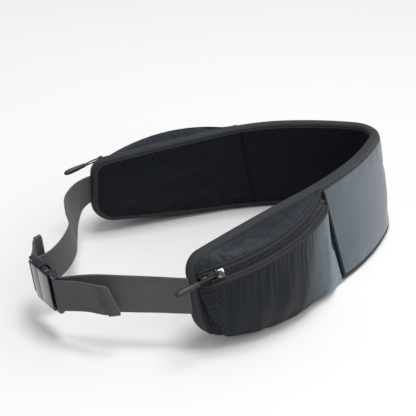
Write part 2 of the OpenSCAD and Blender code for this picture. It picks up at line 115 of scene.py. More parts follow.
def corner_cut(s, r, i):
    x = np.clip((np.abs(s) - HALF_LEN + r) / (r - i), 0, 1)
    return (r - i) * (1 - np.sqrt(np.maximum(0, 1 - x * x)))


def edge_top(s, i=0.0):
    return BAND_H - TOP_DROP * share(s, 120) ** 1.5 - i - corner_cut(s, CORNER_TOP, i)


def edge_low(s, i=0.0):
    return BOTTOM_RISE * share(s, 110) ** 2 + i + corner_cut(s, CORNER_LOW, i)


def smooth(points, v):
    """Catmull-Rom curve through points, at v from 0 to 1."""
    p = np.asarray(points, float)
    n = len(p) - 1
    x = np.minimum(n - 1e-4, np.asarray(v, float) * n)
    i = np.floor(x).astype(int)
    f = (x - i)[..., None]
    a, b, c, d = p[np.maximum(0, i - 1)], p[i], p[i + 1], p[np.minimum(n, i + 2)]
    square, cube = 2 * a - 5 * b + 4 * c - d, 3 * b - a - 3 * c + d
    return b + (c - a) * f / 2 + square * f * f / 2 + cube * f ** 3 / 2


# ---- The zip's arc and the buckle's frame, as the CAD has them ----

TAPE_PITCH, TAPE_W, COIL_W, COIL_SLOT = math.radians(42), 6.8, 2.0, 0.8
TAPE_EDGE = COIL_SLOT / 2 + COIL_W + TAPE_W
ZIP_BOW, ZIP_TILT = 25.0, math.radians(12)


def unit(v):
    return v / np.linalg.norm(v)


zip_front, zip_back = belt(331, 81, 11.5), belt(172, 107, 12)
zip_chord = zip_back - zip_front
zip_e = unit(zip_chord)
bow_aim = outward(np.array(250.0)) * math.cos(ZIP_TILT) + UP * math.sin(ZIP_TILT)
zip_n = unit(bow_aim - zip_e * (zip_e @ bow_aim))
zip_a = np.cross(zip_n, zip_e)
half_chord = np.linalg.norm(zip_chord) / 2
ZIP_R = (half_chord ** 2 + ZIP_BOW ** 2) / 2 / ZIP_BOW
zip_c = (zip_front + zip_back) / 2 - zip_n * (ZIP_R - ZIP_BOW)
ZIP_HALF = math.degrees(math.asin(half_chord / ZIP_R))
SLIDE_AT = -ZIP_HALF + 6.0      # the closed slider's place, in degrees
BAR_UP = 4.9                    # the slider's bar, off the tape
ZIP_TURN_IN = 30.6              # degrees at which the tapes start to turn in
SKIN = 5.3                      # the band's outer face under a pocket, as a layer t


def zip_point(angle, w=0.0, h=0.0):
    angle, w, h = np.broadcast_arrays(np.radians(angle), np.asarray(w, float), np.asarray(h, float))
    radial = zip_n * np.cos(angle)[..., None] + zip_e * np.sin(angle)[..., None]
    r = ZIP_R + w * math.cos(TAPE_PITCH) + h * math.sin(TAPE_PITCH)
    rise = h * math.cos(TAPE_PITCH) - w * math.sin(TAPE_PITCH)
    on_arc = zip_c + radial * r[..., None] + zip_a * rise[..., None]
    # near each end the tapes leave the arc, turn in and are sewn to the band
    past = np.clip((np.abs(np.degrees(angle)) - ZIP_TURN_IN) / (ZIP_HALF - ZIP_TURN_IN), 0, 1)
    past = past * past * (3 - 2 * past)
    at_seam = belt(SEAM_TOP + 2.5 + w * 0.1, 108 - w * 0.75, SKIN + 0.8 + h)
    at_tip = belt(HALF_LEN - 6 + w * 0.1, 79 - w * 0.75, SKIN + 0.8 + h)
    sewn = np.where((angle > 0)[..., None], at_seam, at_tip)
    return on_arc + (sewn - on_arc) * past[..., None]


BUCKLE_AT, BUCKLE_TURN, BUCKLE_LEAN = np.array([26.0, -208.0, 56.0]), math.radians(190), math.radians(6)
bx = np.array([math.cos(BUCKLE_TURN), math.sin(BUCKLE_TURN), 0])
by0 = np.array([-math.sin(BUCKLE_TURN), math.cos(BUCKLE_TURN), 0])
by = by0 * math.cos(BUCKLE_LEAN) - UP * math.sin(BUCKLE_LEAN)
bz = by0 * math.sin(BUCKLE_LEAN) + UP * math.cos(BUCKLE_LEAN)
BAR_X, WEB_W, WEB_T, WEB_Y = 20.7, 38.0, 1.6, 2.8


def buckle_point(x, y, z):
    return BUCKLE_AT + bx * x + by * y + bz * z


# ---- Materials ----

def srgb(r, g, b):
    def linear(c):
        c = c / 255
        return c / 12.92 if c <= 0.04045 else ((c + 0.055) / 1.055) ** 2.4
    return (linear(r), linear(g), linear(b), 1.0)


class Shader:
    """A node material with a Principled shader, and short calls that add nodes."""

    def __init__(self, name, rough=0.6, sheen=0.0, coat=0.0, specular=0.5):
        self.mat = bpy.data.materials.new(name)
        self.mat.use_nodes = True
        self.tree = self.mat.node_tree
        self.bsdf = self.tree.nodes["Principled BSDF"]
        self.bsdf.inputs["Roughness"].default_value = rough
        self.bsdf.inputs["Specular IOR Level"].default_value = specular
        self.bsdf.inputs["Sheen Weight"].default_value = sheen
        self.bsdf.inputs["Sheen Roughness"].default_value = 0.4
        self.bsdf.inputs["Coat Weight"].default_value = coat
        self.bsdf.inputs["Coat Roughness"].default_value = 0.12

    def node(self, kind, **values):
        n = self.tree.nodes.new(kind)
        for key, value in values.items():
            setattr(n, key, value)
        return n

    def link(self, a, b):
        self.tree.links.new(a, b)

    def uv(self, turn=0.0):
        at = self.node("ShaderNodeUVMap")
        m = self.node("ShaderNodeMapping")
        m.inputs["Rotation"].default_value = (0, 0, turn)
        self.link(at.outputs["UV"], m.inputs["Vector"])
        return m.outputs["Vector"]

    def place(self):
        return self.node("ShaderNodeTexCoord").outputs["Object"]

    def wave(self, vector, scale, direction="X", distortion=0.0):
        w = self.node("ShaderNodeTexWave", wave_type="BANDS", bands_direction=direction)
        w.inputs["Scale"].default_value = scale
        w.inputs["Distortion"].default_value = distortion
        self.link(vector, w.inputs["Vector"])
        return w.outputs["Fac"]

    def noise(self, vector, scale):
        n = self.node("ShaderNodeTexNoise")
        n.inputs["Scale"].default_value = scale
        n.inputs["Detail"].default_value = 3.0
        n.inputs["Roughness"].default_value = 0.55
        self.link(vector, n.inputs["Vector"])
        return n.outputs["Fac"]

    def math(self, kind, a, b):
        n = self.node("ShaderNodeMath", operation=kind)
        for socket, value in ((n.inputs[0], a), (n.inputs[1], b)):
            if hasattr(value, "links"):
                self.link(value, socket)
            else:
                socket.default_value = value
        return n.outputs[0]

    def mix(self, fac, dark, light):
        n = self.node("ShaderNodeMix", data_type="RGBA")
        self.link(fac, n.inputs["Factor"])
        n.inputs[6].default_value = dark
        n.inputs[7].default_value = light
        return n.outputs[2]

    def spread(self, fac, low, high):
        n = self.node("ShaderNodeMapRange")
        self.link(fac, n.inputs["Value"])
        n.inputs["To Min"].default_value = low
        n.inputs["To Max"].default_value = high
        return n.outputs["Result"]

    def colour(self, fac, dark, light):
        self.link(self.mix(fac, dark, light), self.bsdf.inputs["Base Color"])

    def rough(self, fac, low, high):
        self.link(self.spread(fac, low, high), self.bsdf.inputs["Roughness"])

    def bump(self, height, strength, distance):
        b = self.node("ShaderNodeBump")
        b.inputs["Strength"].default_value = strength
        b.inputs["Distance"].default_value = distance
        self.link(height, b.inputs["Height"])
        old = self.bsdf.inputs["Normal"]
        if old.links:
            self.link(old.links[0].from_socket, b.inputs["Normal"])
        self.link(b.outputs["Normal"], old)


TAU = 2 * math.pi
BAND_PITCH = TAU / 20           # how far apart a wave texture's bands are at scale 1


def woven(name, dark, light, pitch, depth, rough=0.5, sheen=0.25, specular=0.35, patch=60):
    """Plain weave: two sets of threads crossing, pitch metres apart, over soft colour patches."""
    sh = Shader(name, rough=rough, sheen=sheen, specular=specular)
    at = sh.uv()
    scale = BAND_PITCH / pitch
    threads = sh.math("MULTIPLY", sh.wave(at, scale), sh.wave(at, scale, "Y"))
    patches = sh.noise(sh.place(), patch)
    fac = sh.math("ADD", sh.math("MULTIPLY", threads, 0.45), sh.math("MULTIPLY", patches, 0.55))
    sh.colour(fac, dark, light)
    sh.rough(patches, rough - 0.08, rough + 0.08)
    sh.bump(threads, 0.5, depth)
    return sh.mat


def ribbed(name, dark, light, pitch, sheen, depth=0.0003, rough=0.75):
    """Grosgrain or webbing: ribs across the tape, with a finer thread along it."""
    sh = Shader(name, rough=rough, sheen=sheen, specular=0.3)
    at = sh.uv()
    ribs = sh.wave(at, BAND_PITCH / pitch)
    cross = sh.wave(at, BAND_PITCH / (pitch * 0.8), "Y")
    patches = sh.noise(sh.place(), 90)
    fac = sh.math("ADD", sh.math("MULTIPLY", ribs, 0.4),
                  sh.math("ADD", sh.math("MULTIPLY", cross, 0.2), sh.math("MULTIPLY", patches, 0.4)))
    sh.colour(fac, dark, light)
    sh.rough(patches, rough - 0.06, rough + 0.06)
    sh.bump(sh.math("ADD", ribs, sh.math("MULTIPLY", cross, 0.4)), 0.6, depth)
    return sh.mat


def spacer_mesh(name, dark, light, pitch):
    """Knitted mesh: rows of small dark holes on a diagonal grid."""
    sh = Shader(name, rough=0.7, sheen=0.04, specular=0.12)
    at = sh.uv(turn=math.radians(45))
    scale = BAND_PITCH / pitch
    cells = sh.math("MULTIPLY", sh.wave(at, scale), sh.wave(at, scale, "Y"))
    slant = sh.wave(sh.uv(turn=math.radians(28)), scale * 0.5, "X", 0.6)
    fac = sh.math("ADD", sh.math("MULTIPLY", cells, 0.7), sh.math("MULTIPLY", slant, 0.3))
    sh.colour(fac, dark, light)
    sh.bump(cells, 0.8, 0.0005)
    return sh.mat


def moulded(name, dark, light, rough, coat=0.0, grain=900, depth=0.00004):
    """Plastic, rubber or thread: one colour, slightly worn, with a fine grain."""
    sh = Shader(name, rough=rough, coat=coat)
    at = sh.place()
    wear = sh.noise(at, 70)
    sh.colour(wear, dark, light)
    sh.rough(wear, rough * 0.8, rough * 1.25)
    sh.bump(sh.noise(at, grain), 0.35, depth)
    return sh.mat


shell_cloth = woven("shell_cloth", srgb(56, 66, 74), srgb(96, 108, 117), 0.0011, 0.00012, patch=22)
# painted shade: the back panel's nylon, painted darker for the wing shells and pocket tops
top_cloth = woven("top_cloth", srgb(18, 21, 28), srgb(44, 50, 59), 0.0011, 0.00012, sheen=0.03, specular=0.15)
lining = spacer_mesh("lining_mesh", srgb(5, 6, 10), srgb(34, 40, 52), 0.0024)
tape_cloth = ribbed("binding_tape", srgb(20, 22, 25), srgb(50, 53, 57), 0.0011, sheen=0.06)
web_cloth = ribbed("webbing", srgb(42, 42, 45), srgb(94, 93, 97), 0.0014, depth=0.0002, sheen=0.08)
# charcoal tape, darkened further: the welts made from it are painted shade in the creases at the tapes
zip_cloth_and_crease_shade = ribbed("zip_tape", srgb(12, 14, 17), srgb(42, 45, 50), 0.0012, sheen=0.02)
piping_cloth = ribbed("piping", srgb(14, 16, 19), srgb(38, 42, 47), 0.0012, sheen=0.05)
thread = moulded("thread", srgb(44, 46, 50), srgb(70, 72, 77), 0.7)
thread_dark = moulded("thread_dark", srgb(16, 16, 18), srgb(30, 30, 33), 0.75)
coil_plastic = moulded("coil_plastic", srgb(8, 8, 10), srgb(20, 20, 23), 0.35)
gloss_black = moulded("gloss_black", srgb(5, 5, 7), srgb(13, 13, 16), 0.14, coat=0.8)
grip_rubber = moulded("grip_rubber", srgb(20, 20, 22), srgb(36, 36, 39), 0.5)
cord_braid = moulded("cord_braid", srgb(12, 12, 14), srgb(28, 28, 31), 0.7, grain=1600, depth=0.0002)
buckle_plastic = moulded("buckle_plastic", srgb(8, 10, 15), srgb(20, 25, 33), 0.1, coat=0.8)


PAINTED_LIGHT_FROM, PAINTED_LIGHT_TO = 0.11, 0.19  # where along the pocket its cloth goes from painted shade to painted light, in metres


def ripstop(name):
    """The pocket's front: nylon with fine slanting ribs.

    The fade from near black to slate is painted light and shade: dark toward the tip, light toward the seam, in
    cloudy patches of painted sheen.
    """
    sh = Shader(name, rough=0.5, sheen=0.0, specular=0.1)
    at = sh.uv(turn=math.radians(32))
    ribs = sh.wave(at, BAND_PITCH / 0.0032, "X", 0.3)
    fine = sh.wave(at, BAND_PITCH / 0.0011, "Y")
    patches = sh.noise(sh.place(), 45)
    # painted light: a ramp along the pocket, broken into cloudy patches
    split = sh.node("ShaderNodeSeparateXYZ")
    sh.link(sh.uv(), split.inputs["Vector"])
    fade = sh.node("ShaderNodeMapRange", interpolation_type="SMOOTHSTEP")
    sh.link(split.outputs["X"], fade.inputs["Value"])
    fade.inputs["From Min"].default_value = PAINTED_LIGHT_FROM
    fade.inputs["From Max"].default_value = PAINTED_LIGHT_TO
    painted_light_patches = sh.math("MULTIPLY", fade.outputs["Result"], sh.spread(sh.noise(sh.place(), 14), 0.5, 1.3))
    fac = sh.math("ADD", sh.math("MULTIPLY", painted_light_patches, 0.95),
                  sh.math("ADD", sh.math("MULTIPLY", ribs, 0.03), sh.math("MULTIPLY", patches, 0.05)))
    # the dark end is painted shade and the light end painted light and sheen; ribs and patches add a little of
    # the cloth's own tone
    sh.colour(fac, srgb(12, 12, 15), srgb(132, 146, 157))
    sh.rough(patches, 0.36, 0.5)
    sh.bump(ribs, 0.35, 0.00025)
    sh.bump(fine, 0.3, 0.00008)
    return sh.mat


pocket_cloth = ripstop("pocket_cloth")


# ---- Mesh helpers ----

def add_object(name, verts, faces, mat, uvs=None):
    me = bpy.data.meshes.new(name)
    me.from_pydata([tuple(v) for v in np.asarray(verts) * MM], [], faces)
    if uvs is not None:
        layer = me.uv_layers.new(name="UVMap")
        index = np.zeros(len(me.loops), int)
        me.loops.foreach_get("vertex_index", index)
        layer.data.foreach_set("uv", (np.asarray(uvs)[index] * MM).astype(np.float32).ravel())
    me.polygons.foreach_set("use_smooth", [True] * len(me.polygons))
    me.materials.append(mat)
    ob = bpy.data.objects.new(name, me)
    scene.collection.objects.link(ob)
    return ob


def grid_faces(nu, nv, close_v=False, flip=False):
    faces = []
    for i in range(nu - 1):
        for j in range(nv if close_v else nv - 1):
            k = (j + 1) % nv
            quad = (i * nv + j, (i + 1) * nv + j, (i + 1) * nv + k, i * nv + k)
            faces.append(quad[::-1] if flip else quad)
    return faces


def sheet(name, points, uvs, mat, flip=False):
    """A sheet from a grid of points, shaped [nu, nv, 3]."""
    nu, nv = points.shape[:2]
    return add_object(name, points.reshape(-1, 3), grid_faces(nu, nv, flip=flip), mat, uvs.reshape(-1, 2))


def tube(name, points, uvs, mat, flip=False):
    """A closed skin around rings of points, shaped [rings, points, 3]."""
    nu, nv = points.shape[:2]
    faces = grid_faces(nu, nv, close_v=True, flip=flip)
    start, end = tuple(range(nv)), tuple(range((nu - 1) * nv, nu * nv))
    faces += [start[::-1], end] if flip else [start, end[::-1]]
    return add_object(name, points.reshape(-1, 3), faces, mat, uvs.reshape(-1, 2))


def mirrored(ob, name):
    copy = ob.copy()
    copy.data = ob.data.copy()
    copy.name = copy.data.name = name
    for key in list(copy.keys()):
        del copy[key]
    scene.collection.objects.link(copy)
    copy.data.transform(Matrix.Scale(-1, 4, (1, 0, 0)))
    copy.data.flip_normals()
    return copy


def finish(ob, body, node=None):
    """Rides a piece on its body; node is the CAD node that it stands for."""
    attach(ob, body)
    if node:
        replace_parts(ob, node)


def finish_pair(ob, node):
    """Finishes a left piece on the band, with a mirrored right one; node has no side in its name."""
    other = mirrored(ob, ob.name[:-1] + "r")
    for piece, side in ((ob, "_left"), (other, "_right")):
        finish(piece, "band", node and node + side)


def thicken(ob, mm, offset=-1.0):
    m = ob.modifiers.new("thickness", "SOLIDIFY")
    m.thickness = mm * MM
    m.offset = offset


def subdivide(ob):
    m = ob.modifiers.new("smooth", "SUBSURF")
    m.levels = m.render_levels = 1


def coords(ob):
    co = np.zeros(len(ob.data.vertices) * 3)
    ob.data.vertices.foreach_get("co", co)
    return co.reshape(-1, 3)


def puff(ob, pins, pressure, cap_mm, frames=18, grow=0.0, sag=0.0, stiff=12.0):
    """Blows a pinned sheet out with the cloth simulation, and writes the result to its mesh."""
    before = coords(ob)
    group = ob.vertex_groups.new(name="pin")
    group.add([int(i) for i in pins], 1.0, "ADD")
    cloth = ob.modifiers.new("cloth", "CLOTH")
    cloth.settings.quality = 6
    cloth.settings.mass = 0.15
    cloth.settings.tension_stiffness = stiff
    cloth.settings.compression_stiffness = stiff
    cloth.settings.bending_stiffness = 0.05
    cloth.settings.vertex_group_mass = "pin"
    cloth.settings.use_pressure = True
    cloth.settings.uniform_pressure_force = pressure
    cloth.settings.shrink_min = -grow
    cloth.settings.effector_weights.gravity = sag
    cloth.point_cache.frame_start = 1
    cloth.point_cache.frame_end = frames
    for f in range(1, frames + 1):
        scene.frame_set(f)
    shown = ob.evaluated_get(bpy.context.evaluated_depsgraph_get())
    after = np.zeros(len(shown.data.vertices) * 3)
    shown.data.vertices.foreach_get("co", after)
    move = after.reshape(-1, 3) - before
    length = np.linalg.norm(move, axis=1)
    limit = cap_mm * MM
    scale = np.where(length > 1e-9, np.tanh(length / limit) * limit / np.maximum(length, 1e-9), 0)
    ob.modifiers.remove(cloth)
    ob.vertex_groups.remove(group)
    ob.data.vertices.foreach_set("co", (before + move * scale[:, None]).ravel())
    ob.data.update()
    scene.frame_set(1)


def border(nu, nv, rows=1):
    i, j = np.meshgrid(np.arange(nu), np.arange(nv), indexing="ij")
    edge = (i < rows) | (i >= nu - rows) | (j < rows) | (j >= nv - rows)
    return np.nonzero(edge.ravel())[0]


def rise(x):
    """0 at the edges of 0..1 and 1 in the middle, steep at the edges."""
    return np.clip(1 - np.abs(2 * x - 1) ** 4, 0, 1)


# ---- Padded panels ----

PANEL_INSET, PANEL_T = 2.0, 0.9  # from the band's edge to a panel's, and a panel's thickness
SEAM_GAP = 0.4
TIP = HALF_LEN - PANEL_INSET
NU, NV = ((110, 30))


def panel(name, start, end, t, crown, mat, nu, nv, flip):
    """A panel's face; start and end are its ends, each as (s at the bottom, s at the top)."""
    u = np.linspace(0, 1, nu)
    if end[0] == TIP:
        # rows close up toward the rounded tip
        u = np.sin(u * math.pi / 2)
    v = np.linspace(0, 1, nv)
    uu, vv = np.meshgrid(u, v, indexing="ij")
    s_bottom = start[0] + (end[0] - start[0]) * uu
    s_top = start[1] + (end[1] - start[1]) * uu
    s = s_bottom + (s_top - s_bottom) * vv
    low = edge_low(s, PANEL_INSET)
    z = low + (edge_top(s, PANEL_INSET) - low) * vv
    lift = crown * rise(vv) * (0.35 + 0.65 * rise(uu))
    pts = belt(s, z, t + lift)
    return sheet(name, pts, np.stack([s, z], -1), mat, flip)


back_ends = ((-SEAM_LOW, -SEAM_TOP), (SEAM_LOW, SEAM_TOP))
wing_ends = ((SEAM_LOW + SEAM_GAP, SEAM_TOP + SEAM_GAP), (TIP, TIP))
# the wing shells use the darker top cloth, which is painted shade
for piece, node, ends, t, crown, mat, push, slot in (
        ("back_shell", "centre_shell", back_ends, OUTER - 0.6, 1.6, shell_cloth, 1.5, "outer_fabric"),
        ("back_lining", "centre_mesh", back_ends, INNER + 0.6, -1.8, lining, -1.5, "spacer_mesh"),
        ("wing_shell_l", "wing_shell", wing_ends, OUTER - 0.6, 0.2, top_cloth, 0, "outer_fabric"),
        ("wing_lining_l", "wing_mesh", wing_ends, INNER + 0.6, -1.8, lining, -1.5, "spacer_mesh")):
    faces_out = crown > 0
    ob = panel(piece, *ends, t, crown, mat, NU, NV, faces_out)
    if push:
        puff(ob, border(NU, NV, 2), push, 2.2, grow=0.012)
    thicken(ob, PANEL_T, 1.0 if faces_out else -1.0)
    if ends == wing_ends:
        finish_pair(ob, node)
    else:
        finish(ob, "band", node)

# ---- Binding tape, folded over the edge all round ----

LOOP_STEP = 2.5


def edge_loop():
    """The band's outline as [s, z] points, about LOOP_STEP apart, clockwise from the middle of the top."""
    top_end, low_end = HALF_LEN - CORNER_TOP, HALF_LEN - CORNER_LOW
    s_top = np.linspace(0, top_end, 200)
    turn = np.radians(np.linspace(3, 90, 30))
    s_corner = top_end + CORNER_TOP * np.sin(turn)
    s_low = low_end + CORNER_LOW * np.sin(turn[::-1])
    s_bottom = np.linspace(low_end, 0, 200)
    z_side = np.linspace(edge_top(HALF_LEN), edge_low(HALF_LEN), 14)[1:-1]
    half = np.concatenate([
        np.stack([s_top, edge_top(s_top)], -1), np.stack([s_corner, edge_top(s_corner)], -1),
        np.stack([np.full(12, HALF_LEN), z_side], -1),
        np.stack([s_low, edge_low(s_low)], -1), np.stack([s_bottom, edge_low(s_bottom)], -1)])
    other = half[::-1] * [-1, 1]
    loop = np.concatenate([half[:-1], other[:-1]])
    step = np.linalg.norm(np.diff(np.vstack([loop, loop[:1]]), axis=0), axis=1)
    along = np.concatenate([[0], np.cumsum(step)])
    n = int(along[-1] / LOOP_STEP)
    want = np.linspace(0, along[-1], n, endpoint=False)
    closed = np.vstack([loop, loop[:1]])
    return np.stack([np.interp(want, along, closed[:, k]) for k in (0, 1)], -1)


loop = edge_loop()
loop_dir = np.roll(loop, -1, 0) - np.roll(loop, 1, 0)
loop_dir /= np.linalg.norm(loop_dir, axis=1)[:, None]
loop_in = np.stack([loop_dir[:, 1], -loop_dir[:, 0]], -1)


def from_edge(q, t):
    """The whole outline moved q into the panel, at layer t; q and t may be arrays over a profile."""
    q, t = np.broadcast_arrays(np.asarray(q, float), np.asarray(t, float))
    at = loop[:, None, :] + loop_in[:, None, :] * q.reshape(1, -1, 1)
    return belt(at[..., 0], at[..., 1], t.reshape(1, -1))


profile = np.array([
    (7.2, -5.75), (5.6, -6.25), (3.4, -6.25), (1.5, -5.5), (0.4, -3.9), (0.0, -1.6), (0.0, 0.6),
    (0.4, 2.7), (1.5, 4.3), (3.4, 5.05), (5.6, 5.0), (7.2, 4.5), (7.1, 3.7), (5.6, 4.0), (3.6, 4.0),
    (2.0, 3.2), (1.2, 0.6), (1.2, -1.6), (2.0, -4.4), (3.6, -5.1), (5.6, -5.1), (7.1, -5.1)])
ring = from_edge(profile[:, 0], profile[:, 1])
run = np.arange(len(loop)) * LOOP_STEP
around = np.concatenate([[0], np.cumsum(np.linalg.norm(np.diff(profile, axis=0), axis=1))])
uv = np.stack(np.broadcast_arrays(run[:, None], around[None, :]), -1)
n_ring, n_prof = ring.shape[:2]
faces = grid_faces(n_ring, n_prof, close_v=True)
faces += [((n_ring - 1) * n_prof + j, j, (j + 1) % n_prof, (n_ring - 1) * n_prof + (j + 1) % n_prof)
          for j in range(n_prof)]
binding = add_object("edge_binding", ring.reshape(-1, 3), faces, tape_cloth, uv.reshape(-1, 2))
subdivide(binding)
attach(binding, "band")
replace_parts(binding, "centre_binding_top", "centre_binding_bottom", "wing_binding_left", "wing_binding_right")


def stitches(name, points, normals, body, mat=None, length=2.4, pitch=3.6, radius=0.28):
    """Thread dashes along a polyline of points, lying on a surface with the given normals."""
    step = np.linalg.norm(np.diff(points, axis=0), axis=1)
    along = np.concatenate([[0], np.cumsum(step)])
    starts = np.arange(pitch / 2, along[-1] - length, pitch)
    verts, faces = [], []
    angles = np.arange(6) * TAU / 6

    def at(x):
        return np.array([np.interp(x, along, points[:, k]) for k in range(3)])

    for start in starts:
        a, b = at(start), at(start + length)
        d = unit(b - a)
        n = np.array([np.interp(start, along, normals[:, k]) for k in range(3)])
        n = unit(n - d * (n @ d))
        side = np.cross(d, n)
        base = len(verts)
        for f, r in ((0, 0.35), (0.2, 1.0), (0.8, 1.0), (1, 0.35)):
            centre = a + (b - a) * f + n * (radius * (0.6 if r == 1 else -0.3))
            verts += [centre + (n * math.cos(w) + side * math.sin(w)) * radius * r for w in angles]
        for i in range(3):
            for j in range(6):
                k = (j + 1) % 6
                faces.append((base + i * 6 + j, base + i * 6 + k, base + i * 6 + 6 + k, base + i * 6 + 6 + j))
        faces.append(tuple(base + j for j in range(5, -1, -1)))
        faces.append(tuple(base + 18 + j for j in range(6)))
    ob = add_object(name, verts, faces, mat or thread)
    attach(ob, body)
    return ob


def closed(line):
    return np.vstack([line, line[:1]])


for name, t, sign in (("binding_stitch_out", 5.0, 1), ("binding_stitch_in", -6.25, -1)):
    line = closed(from_edge([5.5], [t])[:, 0])
    stitches(name, line, closed(outward(loop[:, 0])) * sign, "band")

# ---- Seam between the back panel and each wing ----

def cord_along(name, points, radius, mat, body, sides=12):
    """A round cord through points, tapered to a rounded end."""
    d = np.gradient(points, axis=0)
    d /= np.linalg.norm(d, axis=1)[:, None]
    ref = np.where(np.abs(d @ UP)[:, None] > 0.9, np.array([[1.0, 0, 0]]), UP[None])
    n = np.cross(d, ref)
    n /= np.linalg.norm(n, axis=1)[:, None]
    b = np.cross(d, n)
    angles = np.arange(sides) * TAU / sides
    r = np.full(len(points), float(radius))
    for k, f in enumerate((0.35, 0.75, 0.95)):
        r[k] = r[-1 - k] = radius * f
    rings = points[:, None] + (n[:, None] * np.cos(angles)[None, :, None]
                               + b[:, None] * np.sin(angles)[None, :, None]) * r[:, None, None]
    run = np.concatenate([[0], np.cumsum(np.linalg.norm(np.diff(points, axis=0), axis=1))])
    uv = np.stack(np.broadcast_arrays(run[:, None], (angles * radius)[None]), -1)
    ob = tube(name, rings, uv, mat)
    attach(ob, body)
    return ob


seam_z = np.linspace(5, 113, 60)
seam_s = SEAM_LOW + (SEAM_TOP - SEAM_LOW) * seam_z / BAND_H
seam_line = belt(seam_s, seam_z, OUTER + 1.6)
piping = cord_along("seam_piping_l", seam_line, 1.9, piping_cloth, "band")
finish_pair(piping, "seam_piping")
inner_seam = cord_along("lining_seam_l", belt(seam_s, seam_z, INNER - 0.9), 0.8, lining, "band")
finish_pair(inner_seam, None)

# ---- Pockets ----

POCKET_N, BELLY = 12, 34.0
LOW_TIP, LOW_SEAM = HALF_LEN - 11, SEAM_LOW + 4
FRONT_RUN, TOP_RUN = 185, 182   # the cloths' lengths along the pocket


def along_pocket(k):
    """0 at the tip, where station k is -1, and 1 at the seam, where it is 13."""
    return (k + 1) / (POCKET_N + 2)


def pocket_curves(k):
    """Bezier points of the pocket's front at station k, from -1 at the tip to 13 at the seam."""
    k = np.asarray(k, float)
    s = LOW_TIP + (LOW_SEAM - LOW_TIP) * along_pocket(k)
    o = outward(s)
    w = np.sin(math.pi * np.clip((k + 0.5) / (POCKET_N + 1), 0, 1)) ** 0.6
    on_zip = zip_point(-ZIP_HALF + 2 * ZIP_HALF * np.clip(k, 0, POCKET_N) / POCKET_N, TAPE_EDGE - 0.6)
    tip, seam = belt(HALF_LEN - 5, 76, SKIN), belt(SEAM_TOP - 1.5, 98, SKIN)
    to_tip, to_seam = np.clip(-k, 0, 1)[:, None], np.clip(k - POCKET_N, 0, 1)[:, None]
    top = on_zip * (1 - to_tip - to_seam) + tip * to_tip + seam * to_seam
    low = belt(s, edge_low(s) + 0.8, SKIN)
    sag = ((7 + edge_low(s)) * w)[:, None]
    w = w[:, None]
    return low, low + o * BELLY * w - UP * sag, top + o * 9 * w - UP * (12 + 24 * w), top


PU, PV = ((190, 64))
k_line = np.linspace(-1, POCKET_N + 1, PU)
v_line = np.linspace(0, 1, PV)
p0, p1, p2, p3 = (p[:, None] for p in pocket_curves(k_line))
v = v_line[None, :, None]
front = (1 - v) ** 3 * p0 + 3 * v * (1 - v) ** 2 * p1 + 3 * v * v * (1 - v) * p2 + v ** 3 * p3
k_grid, v_grid = np.meshgrid(k_line, v_line, indexing="ij")
inside = rise(along_pocket(k_grid))
# gathers hang from the zip, fine and coarse together, and fade out below it
gather = np.sin(k_grid * 10.3 + 0.6 + 1.6 * np.sin(k_grid * 1.3))
gather += 0.6 * np.sin(k_grid * 15.7 + 2 * np.sin(k_grid))
gather *= 0.3 + 0.7 * np.sin(k_grid * 0.9 + 0.4) ** 2
gather *= np.exp(-(1 - v_grid) * (9 + 4 * np.sin(k_grid * 3.7)))
gather *= rise(1 - v_grid * 0.97) * inside * 1.15
# slow waves stand for the slack in the cloth
slack = (np.sin(k_grid * 1.7 + v_grid * 5) + np.sin(k_grid * 2.9 - v_grid * 7 + 1)) * 0.5
slack *= rise(v_grid) * inside
out = outward(LOW_TIP + (LOW_SEAM - LOW_TIP) * along_pocket(k_line))
lift = (gather + slack)[..., None] * out[:, None]
row_step = np.linalg.norm(np.diff(front, axis=1), axis=2)
height = np.concatenate([np.zeros((PU, 1)), np.cumsum(row_step, axis=1)], 1)
front_uv = np.stack([along_pocket(k_grid) * FRONT_RUN, height], -1)
pocket = sheet("pocket_front_l", front + lift, front_uv, pocket_cloth, flip=True)
# the cloth is held at its border, and near the tip and the seam, where it lies on the wing
cells = np.arange(PU * PV).reshape(PU, PV)
held = np.concatenate([border(PU, PV), cells[-PU // 6:].ravel(), cells[:PU // 14].ravel()])
puff(pocket, np.unique(held), 2.5, 5.0, grow=0.03, sag=0.25, stiff=6.0)
thicken(pocket, 0.9, 1.0)
subdivide(pocket)


finish_pair(pocket, "pocket_front")

TU, TV = ((110, 22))
k_line = np.linspace(-1, POCKET_N + 1, TU)
s = HALF_LEN - 5 + (SEAM_TOP + 4 - HALF_LEN + 5) * along_pocket(k_line)
high = belt(s, edge_top(s) - 3, SKIN - 0.6)
on_zip = zip_point(-ZIP_HALF + 2 * ZIP_HALF * np.clip(k_line, 0, POCKET_N) / POCKET_N, -TAPE_EDGE + 0.6)
to_tip, to_seam = np.clip(-k_line, 0, 1)[:, None], np.clip(k_line - POCKET_N, 0, 1)[:, None]
tip, seam = belt(HALF_LEN - 5, 82, SKIN), belt(SEAM_TOP + 2.5, 108, SKIN)
low = on_zip * (1 - to_tip - to_seam) + tip * to_tip + seam * to_seam
v = np.linspace(0, 1, TV)[None, :, None]
top_pts = low[:, None] + (high - low)[:, None] * v
k_grid, v_grid = np.meshgrid(k_line, v[0, :, 0], indexing="ij")
ripple = 0.35 * np.sin(k_grid * 4.1) * np.exp(-v_grid * 6)
hump = (1.6 * rise(along_pocket(k_grid)) + ripple) * rise(v_grid)
top_pts = top_pts + hump[..., None] * (outward(s) * 0.4 + UP * 0.9)[:, None]
length = np.linalg.norm(high - low, axis=1)[:, None] * v_grid
top_uv = np.stack([along_pocket(k_grid) * TOP_RUN, length], -1)
# the pocket top uses the darker top cloth, which is painted shade
top_sheet = sheet("pocket_top_l", top_pts, top_uv, top_cloth, flip=True)
puff(top_sheet, border(TU, TV), 1.5, 2.5, grow=0.02, stiff=8.0)
thicken(top_sheet, 0.8, 1.0)
finish_pair(top_sheet, "pocket_top")

# ---- Zips ----

arc = np.linspace(-ZIP_HALF, ZIP_HALF, 120)
arc_run = np.radians(arc + ZIP_HALF) * ZIP_R


